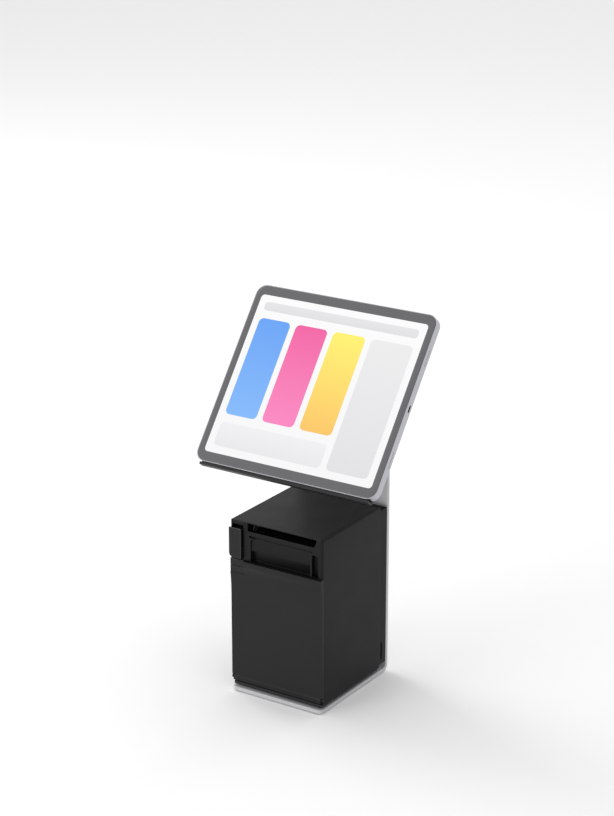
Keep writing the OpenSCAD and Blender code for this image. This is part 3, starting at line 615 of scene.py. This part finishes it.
# -------------------------------------------------------------- sub-assemblies


@dataclass
class Trim:
    """One node that gets rounded edges.

    Attributes:
        node: The node's name.
        finish: Its finish.
        edge_mm: Width of the rounded edges.
        edge_highlight_finish: Finish of those edges, painted lighter as a highlight, where it differs.
    """

    node: str
    finish: Finish
    edge_mm: float
    edge_highlight_finish: Finish | None = None

    def build(self) -> str:
        """Makes the rounded piece, and returns its name."""
        name = self.node + "_finished"
        return relieved_copy(self.node, name, self.finish, self.edge_mm, self.edge_highlight_finish).name


@dataclass
class Assembly:
    """A sub-assembly of rounded pieces and of nodes that only take a finish.

    Attributes:
        label: Its name in the log.
        trims: The nodes that get rounded edges.
        kept: The nodes that stay as they are, with their finish.
    """

    label: str = ""
    trims: list[Trim] = field(default_factory=list)
    kept: dict[str, Finish] = field(default_factory=dict)

    def build(self) -> None:
        """Builds the sub-assembly, and logs its pieces."""
        names = [trim.build() for trim in self.trims]
        for node, finish in self.kept.items():
            dress(node, finish)
        names += list(self.kept) + self.details()
        report(self.label, names)

    def details(self) -> list[str]:
        """Makes the pieces that the frame doesn't have, and returns their names."""
        return []


@dataclass
class Stand(Assembly):
    """The bent steel stand with the fixed half of the hinge."""

    label: str = "stand"
    trims: list[Trim] = field(
        default_factory=lambda: [
            # The plate's rounded edges take the paler coat, a painted highlight
            Trim("stand_plate", POWDER_GREY, 1.3, POWDER_EDGE_HIGHLIGHT),
            Trim("base_pad", RUBBER, 0.3),
            Trim("cable_grommet", RUBBER, 0.4),
            Trim("hinge_base", POWDER_BLACK, 0.6),
            Trim("hinge_screws", ZINC, 0.25),
            Trim("hinge_nut", ZINC, 0.35),
            Trim("hinge_pin", ZINC, 0.4),
        ]
    )
    kept: dict[str, Finish] = field(default_factory=lambda: {"printer_screws": ZINC})


@dataclass
class TiltHead(Assembly):
    """The arm and the cradle that carry the tablet."""

    label: str = "tilt head"
    trims: list[Trim] = field(
        default_factory=lambda: [
            Trim("friction_washers", BRASS, 0.15),
            Trim("tilt_arm", POWDER_BLACK, 0.6),
            Trim("cradle", POWDER_BLACK, 0.6),
            Trim("grip_pads", RUBBER, 0.3),
            Trim("ledge_liner", RUBBER, 0.2),
        ]
    )
    kept: dict[str, Finish] = field(default_factory=lambda: {"cradle_screws": ZINC})


@dataclass(frozen=True)
class Tile:
    """A plain rounded tile on the screen, in millimetres from its middle."""

    left: float
    low: float
    right: float
    high: float
    top_colour: str
    low_colour: str
    corner: float = 6.0


@dataclass
class Tablet(Assembly):
    """The tablet, with a generic checkout screen made of plain tiles."""

    label: str = "tablet"
    border_side: float = 9.3 * MM
    border_end: float = 12.5 * MM
    screen_corner: float = 4.5 * MM
    glass_corner: float = 12.0 * MM
    pane: float = 0.8 * MM
    layer: float = 0.02 * MM
    glass_inset: float = 1.0 * MM
    glass_round: float = 0.12 * MM
    page_colours: tuple[str, str] = ("#f0f0f0", "#ececed")
    tiles: tuple[Tile, ...] = (
        Tile(-106, 82, 106, 93, "#dcdcde", "#d6d6d8", 4),
        Tile(-106, -52, -62, 72, "#5f9bec", "#7ab0f0"),
        Tile(-54, -52, -10, 72, "#e85a9c", "#f07fb8"),
        Tile(-2, -52, 42, 72, "#ffe867", "#f0bd5c"),
        Tile(50, -92, 106, 72, "#e2e2e3", "#d8d8da"),
        Tile(-106, -92, 42, -62, "#e6e6e8", "#dedee0"),
    )
    trims: list[Trim] = field(
        default_factory=lambda: [
            # The shell's chamfer takes the paler aluminium, partly a painted highlight
            Trim("tablet_shell", ANODISED, 0.5, CHAMFER_HIGHLIGHT),
            Trim("tablet_power_button", ANODISED, 0.2),
            Trim("volume_up_button", ANODISED, 0.2),
            Trim("volume_down_button", ANODISED, 0.2),
            Trim("rear_camera", LENS, 0.4),
        ]
    )
    kept: dict[str, Finish] = field(
        default_factory=lambda: {
            "tablet_battery": BATTERY_FILM,
            "tablet_board": SOLDER_MASK,
            "tablet_speakers": INNER_ABS,
            "front_camera": LENS,
            "usb_port": ZINC,
        }
    )

    def glass_place(self) -> tuple[Matrix, float, float]:
        """Finds where the glass lies, from its largest face.

        Returns:
            The matrix from the glass's own plane, and the glass's width and height.
        """
        mesh = frame["nodes"]["tablet_glass"].data
        normal = max((p for p in mesh.polygons if p.normal.z > 0.3), key=lambda p: p.area).normal.copy()
        side = Vector((1, 0, 0))
        up = normal.cross(side).normalized()
        turn = Matrix((side, up, normal)).transposed()
        flat = [turn.inverted() @ v.co for v in mesh.vertices]
        low = Vector(min(p[i] for p in flat) for i in range(3))
        high = Vector(max(p[i] for p in flat) for i in range(3))
        centre = turn @ Vector(((low.x + high.x) / 2, (low.y + high.y) / 2, high.z))
        return Matrix.Translation(centre) @ turn.to_4x4(), high.x - low.x, high.y - low.y

    def window(self, width: float, height: float) -> tuple[float, float]:
        """Finds the size of the clear window in the glass.

        Args:
            width: Width of the glass.
            height: Height of the glass.

        Returns:
            The window's width and height.
        """
        wide = width + 2 * self.glass_inset - 2 * self.border_side
        tall = height + 2 * self.glass_inset - 2 * self.border_end
        return wide, tall

    def border(self, place: Matrix, width: float, height: float) -> bpy.types.Object:
        """Makes the painted border of the cover glass.

        Args:
            place: The glass's own plane.
            width: Width of the glass.
            height: Height of the glass.

        Returns:
            The border.
        """
        work = Workpiece()
        work.rounded_outline(width, height, self.glass_corner)
        outer_edges = list(work.bm.edges)
        work.rounded_outline(*self.window(width, height), self.screen_corner)
        edges = list(work.bm.edges)
        bmesh.ops.delete(work.bm, geom=list(work.bm.faces), context="FACES_ONLY")
        assert len(edges) == 2 * len(outer_edges)
        bmesh.ops.bridge_loops(work.bm, edges=edges)
        bmesh.ops.recalc_face_normals(work.bm, faces=work.bm.faces)
        work.thicken(list(work.bm.faces), self.pane).relieve(self.glass_round, 2).place(place)
        piece = work.finish("cover_glass_border", BORDER_GLASS)
        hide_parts("tablet_glass")
        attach(piece, NODE_BODY["tablet_glass"])
        return piece

    def screen(self, place: Matrix, width: float, height: float) -> bpy.types.Object:
        """Makes the lit page and its tiles.

        Args:
            place: The glass's own plane.
            width: Width of the glass.
            height: Height of the glass.

        Returns:
            The screen.
        """
        wide, tall = self.window(width, height)
        work = Workpiece()
        tint = work.bm.loops.layers.float_color.new("tint")
        page = work.rounded_outline(wide, tall, self.screen_corner)
        self.paint(page, tint, -tall / 2, tall / 2, *self.page_colours)
        work.thicken(page, self.pane)
        bmesh.ops.translate(work.bm, vec=(0, 0, -self.layer), verts=work.bm.verts)
        for tile in self.tiles:
            known = set(work.bm.faces)
            size = ((tile.right - tile.left) * MM, (tile.high - tile.low) * MM)
            work.rounded_outline(*size, tile.corner * MM, 8)
            made = [f for f in work.bm.faces if f not in known]
            self.paint(made, tint, -size[1] / 2, size[1] / 2, tile.top_colour, tile.low_colour)
            verts = list({v for f in made for v in f.verts})
            middle = ((tile.left + tile.right) / 2 * MM, (tile.low + tile.high) / 2 * MM, 0)
            bmesh.ops.translate(work.bm, vec=middle, verts=verts)
        work.place(place)
        piece = work.finish("checkout_screen", DISPLAY)
        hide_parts("tablet_display")
        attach(piece, NODE_BODY["tablet_display"])
        return piece

    def paint(self, faces: list, layer, low: float, high: float, top_colour: str, low_colour: str) -> None:
        """Paints faces from one colour at the top to another below.

        Args:
            faces: The faces to paint.
            layer: The colour layer.
            low: Y at the lower colour.
            high: Y at the upper colour.
            top_colour: Colour at the top, in hex.
            low_colour: Colour below, in hex.
        """
        top, below = Vector(linear(top_colour)), Vector(linear(low_colour))
        for face in faces:
            for loop in face.loops:
                share = (loop.vert.co.y - low) / (high - low)
                loop[layer] = below.lerp(top, share)

    def details(self) -> list[str]:
        """Makes the border and the screen, and returns their names."""
        place, width, height = self.glass_place()
        return [self.border(place, width, height).name, self.screen(place, width, height).name]


@dataclass
class PrinterBody(Assembly):
    """The printer's covers, lever and buttons."""

    label: str = "printer body"
    trims: list[Trim] = field(
        default_factory=lambda: [
            # The casing takes the shaded copy of the ABS, and its edges the glossier cover ABS as a painted
            # highlight
            Trim("printer_case", CASE_ABS_SHADED, 1.1, SPARK_ABS),
            Trim("top_cover", SPARK_ABS, 0.5),
            # The bezel, cover and lever edges take lighter ABS, a painted highlight
            Trim("exit_bezel", SATIN_ABS, 0.55, ABS_EDGE_HIGHLIGHT),
            Trim("front_cover", SPARK_ABS, 0.8, ABS_EDGE_HIGHLIGHT),
            Trim("release_lever", SPARK_ABS, 0.9, ABS_EDGE_HIGHLIGHT),
            # The cable cover's black strip beside the upright also stands in for the shade there
            Trim("cable_cover", CASE_ABS_SHADED, 0.5),
            # The bottom cover's black sole, reaching nearly to the front, also stands in for the shade in
            # the gap under the printer
            Trim("bottom_cover", INNER_ABS, 0.5),
            Trim("printer_feet", RUBBER, 0.4),
            Trim("power_button", BUTTON_ABS, 0.4),
            Trim("feed_button", BUTTON_ABS, 0.35),
            Trim("case_screws", ZINC, 0.2),
        ]
    )
    kept: dict[str, Finish] = field(
        default_factory=lambda: {
            # The tear bar's black also paints the shade at the slot's lip
            "tear_bar": BLACK_OXIDE_SLOT_SHADE,
            "door_pins": ZINC,
            "door_catch": GROUND,
            "status_lens": LAMP,
        }
    )


@dataclass
class Mechanism(Assembly):
    """The paper roll, the feed, the print head and the cutter."""

    label: str = "mechanism"
    coil_turns: int = 7
    coil_steps: int = 20
    wire: float = 0.35 * MM
    wire_sides: int = 10
    trims: list[Trim] = field(
        default_factory=lambda: [
            Trim("chassis", GALVANISED, 0.2),
            Trim("roll_bucket", INNER_ABS, 0.5),
            Trim("feed_motor", DRAWN_CAN, 0.5),
            Trim("heat_sink", EXTRUDED, 0.25),
            # The frame's black also paints the shade inside the paper slot
            Trim("mechanism_frame", BLACK_OXIDE_SLOT_SHADE, 0.2),
            Trim("cutter_motor", INNER_ABS, 0.5),
        ]
    )
    kept: dict[str, Finish] = field(
        default_factory=lambda: {
            "roll_core": CORE_CARD,
            "platen_roller": PLATEN_RUBBER,
            "platen_shaft": ZINC,
            "platen_gear": ACETAL,
            "idler_gear": ACETAL,
            "motor_pinion": BRASS,
            # The head's dark glaze also paints the shade inside the paper slot
            "thermal_head": ALUMINA_SLOT_SHADE,
            # The blades' black also paints the shade inside the paper slot
            "fixed_blade": BLACK_OXIDE_SLOT_SHADE,
            "moving_blade": BLACK_OXIDE_SLOT_SHADE,
        }
    )

    def details(self) -> list[str]:
        """Makes the roll's winding and the head's coil springs."""
        low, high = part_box("paper_roll")
        middle = (low + high) / 2
        # Thermal paper: smooth white, its layers drawn 1.2 mm apart so that they show
        paper = Wound(
            "thermal_paper",
            "#f1f0ea",
            "#dbd9d0",
            (0.55, 0.7),
            1.2,
            0.05,
            axis_y=middle.y,
            axis_z=middle.z,
        )
        roll = relieved_copy("paper_roll", "paper_roll_finished", paper, 0.3)
        return [roll.name, *self.springs()]

    def springs(self) -> list[str]:
        """Makes two coil springs in place of the plain ones.

        Returns:
            Their names.
        """
        low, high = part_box("head_springs")
        radius = (high.z - low.z) / 2 - self.wire
        names = []
        for index, x in enumerate((low.x + radius + self.wire, high.x - radius - self.wire)):
            work = Workpiece()
            turn = Matrix.Translation((radius, 0, 0)) @ Matrix.Rotation(math.pi / 2, 4, "X")
            made = bmesh.ops.create_circle(
                work.bm, cap_ends=False, segments=self.wire_sides, radius=self.wire, matrix=turn
            )
            rim = [e for e in work.bm.edges if set(e.verts) <= set(made["verts"])]
            steps = self.coil_turns * self.coil_steps
            length = high.y - low.y - 2 * self.wire
            spun = bmesh.ops.spin(
                work.bm,
                geom=rim + made["verts"],
                cent=(0, 0, 0),
                axis=(0, 0, 1),
                dvec=(0, 0, length / steps),
                angle=2 * math.pi * self.coil_turns,
                steps=steps,
                use_duplicate=False,
            )
            tail = [e for e in spun["geom_last"] if isinstance(e, bmesh.types.BMEdge)]
            bmesh.ops.contextual_create(work.bm, geom=tail)
            rims = [e for e in work.bm.edges if e.is_boundary]
            bmesh.ops.holes_fill(work.bm, edges=rims, sides=self.wire_sides + 2)
            bmesh.ops.recalc_face_normals(work.bm, faces=work.bm.faces)
            across = Matrix.Rotation(-math.pi / 2, 4, "X")
            start = Vector((x, low.y + self.wire, (low.z + high.z) / 2))
            work.place(Matrix.Translation(start) @ across)
            piece = work.finish(f"head_coil_spring_{index + 1}", GROUND)
            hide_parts("head_springs")
            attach(piece, NODE_BODY["head_springs"])
            names.append(piece.name)
        return names


@dataclass
class Electronics(Assembly):
    """The main board and the sockets at the rear."""

    label: str = "electronics"
    contact: float = 0.8 * MM
    pitch: float = 2.2 * MM
    reach: float = 5 * MM
    contact_round: float = 0.12 * MM
    trims: list[Trim] = field(default_factory=lambda: [Trim("rear_connectors", INNER_ABS, 0.3)])
    kept: dict[str, Finish] = field(default_factory=lambda: {"main_board": SOLDER_MASK})

    def details(self) -> list[str]:
        """Makes rows of gold contacts in the sockets, from their stated openings.

        Returns:
            Their names.
        """
        openings = frame["record"]["physics"]["openings"]
        sockets = [o for o in openings if o["name"].startswith("rear_socket")]
        names = []
        for socket in sockets:
            low, high = (Vector(corner) for corner in socket["box_m"])
            count = int((high.x - low.x - self.pitch) / self.pitch)
            work = Workpiece()
            level = (low.z + high.z) / 2
            for index in range(count):
                x = (low.x + high.x) / 2 + (index - (count - 1) / 2) * self.pitch
                half = self.contact / 2
                near = Vector((x - half, low.y, level - half))
                far = Vector((x + half, low.y + self.reach, level + half))
                work.block(near, far)
            work.relieve(self.contact_round, 1)
            piece = work.finish(socket["name"] + "_contacts", GOLD)
            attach(piece, NODE_BODY["rear_connectors"])
            names.append(piece.name)
        return names


# ---------------------------------------------------------------------- studio


@dataclass(frozen=True)
class Lamp:
    """One square soft light, in metres and watts."""

    name: str
    spot: tuple[float, float, float]
    size: float
    power: float


@dataclass
class Studio:
    """The pale floor, the soft lights and the camera.

    Attributes:
        floor_size: Side of the floor.
        world_strength: Strength of the white surround.
        lit_height: Height that the lights face.
        lamps: The lights.
        aim: The point the camera faces.
        azimuth: The camera's angle round the object, in degrees.
        elevation: The camera's angle above the floor, in degrees.
        distance: The camera's distance from its aim.
        lens: Focal length in millimetres.
        sensor: Sensor width in millimetres.
        clip: Nearest and farthest distance that is drawn.
    """

    floor_size: float = 12.0
    world_strength: float = 0.9
    lit_height: float = 0.22
    lamps: tuple[Lamp, ...] = (
        Lamp("key", (-2.6, 0.5, 2.3), 1.5, 30),
        Lamp("front", (-1.2, -2.8, 0.5), 1.4, 36),
        Lamp("rear", (0.2, 2.7, 2.3), 1.6, 5),
    )
    aim: tuple[float, float, float] = (0.0435, -0.074, 0.3758)
    azimuth: float = 33.3
    elevation: float = 19.0
    distance: float = 2.561
    lens: float = 101.25
    sensor: float = 36.0
    clip: tuple[float, float] = (0.05, 60.0)

    def build(self) -> None:
        """Builds the floor, the world, the lights and the camera."""
        self.floor()
        self.world()
        for lamp in self.lamps:
            self.light(lamp)
        self.camera()

    def floor(self) -> None:
        """Lays the floor."""
        pale = Finish("studio_paper", "#f6f6f6", "#f4f4f4", (0.8, 0.9), 40.0, 0.01)
        work = Workpiece()
        bmesh.ops.create_grid(work.bm, x_segments=8, y_segments=8, size=self.floor_size / 2)
        floor = work.finish("studio_floor", pale)

    def world(self) -> None:
        """Sets an even white surround, and a plain view of the colours."""
        scene = bpy.context.scene
        scene.world = bpy.data.worlds.new("white_surround")
        scene.world.use_nodes = True
        background = scene.world.node_tree.nodes["Background"]
        background.inputs["Color"].default_value = linear("#ffffff")
        background.inputs["Strength"].default_value = self.world_strength
        scene.view_settings.view_transform = "Standard"

    def light(self, lamp: Lamp) -> None:
        """Hangs one soft light that faces the object.

        Args:
            lamp: The light's place, size and power.
        """
        data = bpy.data.lights.new(lamp.name, "AREA")
        data.size = lamp.size
        data.energy = lamp.power
        hung = bpy.data.objects.new(lamp.name, data)
        hung.location = lamp.spot
        facing = Vector((0, 0, self.lit_height)) - Vector(lamp.spot)
        hung.rotation_euler = facing.to_track_quat("-Z", "Y").to_euler()
        bpy.context.scene.collection.objects.link(hung)

    def camera(self) -> None:
        """Places the camera."""
        a, e = math.radians(self.azimuth), math.radians(self.elevation)
        back = Vector((math.sin(a) * math.cos(e), -math.cos(a) * math.cos(e), math.sin(e)))
        data = bpy.data.cameras.new("camera")
        data.lens = self.lens
        data.sensor_width = self.sensor
        data.clip_start, data.clip_end = self.clip
        camera = bpy.data.objects.new("camera", data)
        camera.location = Vector(self.aim) + back * self.distance
        camera.rotation_euler = (-back).to_track_quat("-Z", "Y").to_euler()
        bpy.context.scene.collection.objects.link(camera)
        bpy.context.scene.camera = camera


def main() -> None:
    """Builds every sub-assembly and the studio."""
    logging.basicConfig(level=logging.INFO, format="%(name)s %(message)s")
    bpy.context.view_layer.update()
    for assembly in (Stand(), TiltHead(), Tablet(), PrinterBody(), Mechanism(), Electronics()):
        assembly.build()
    Studio().build()


if __name__ == "__main__":
    main()
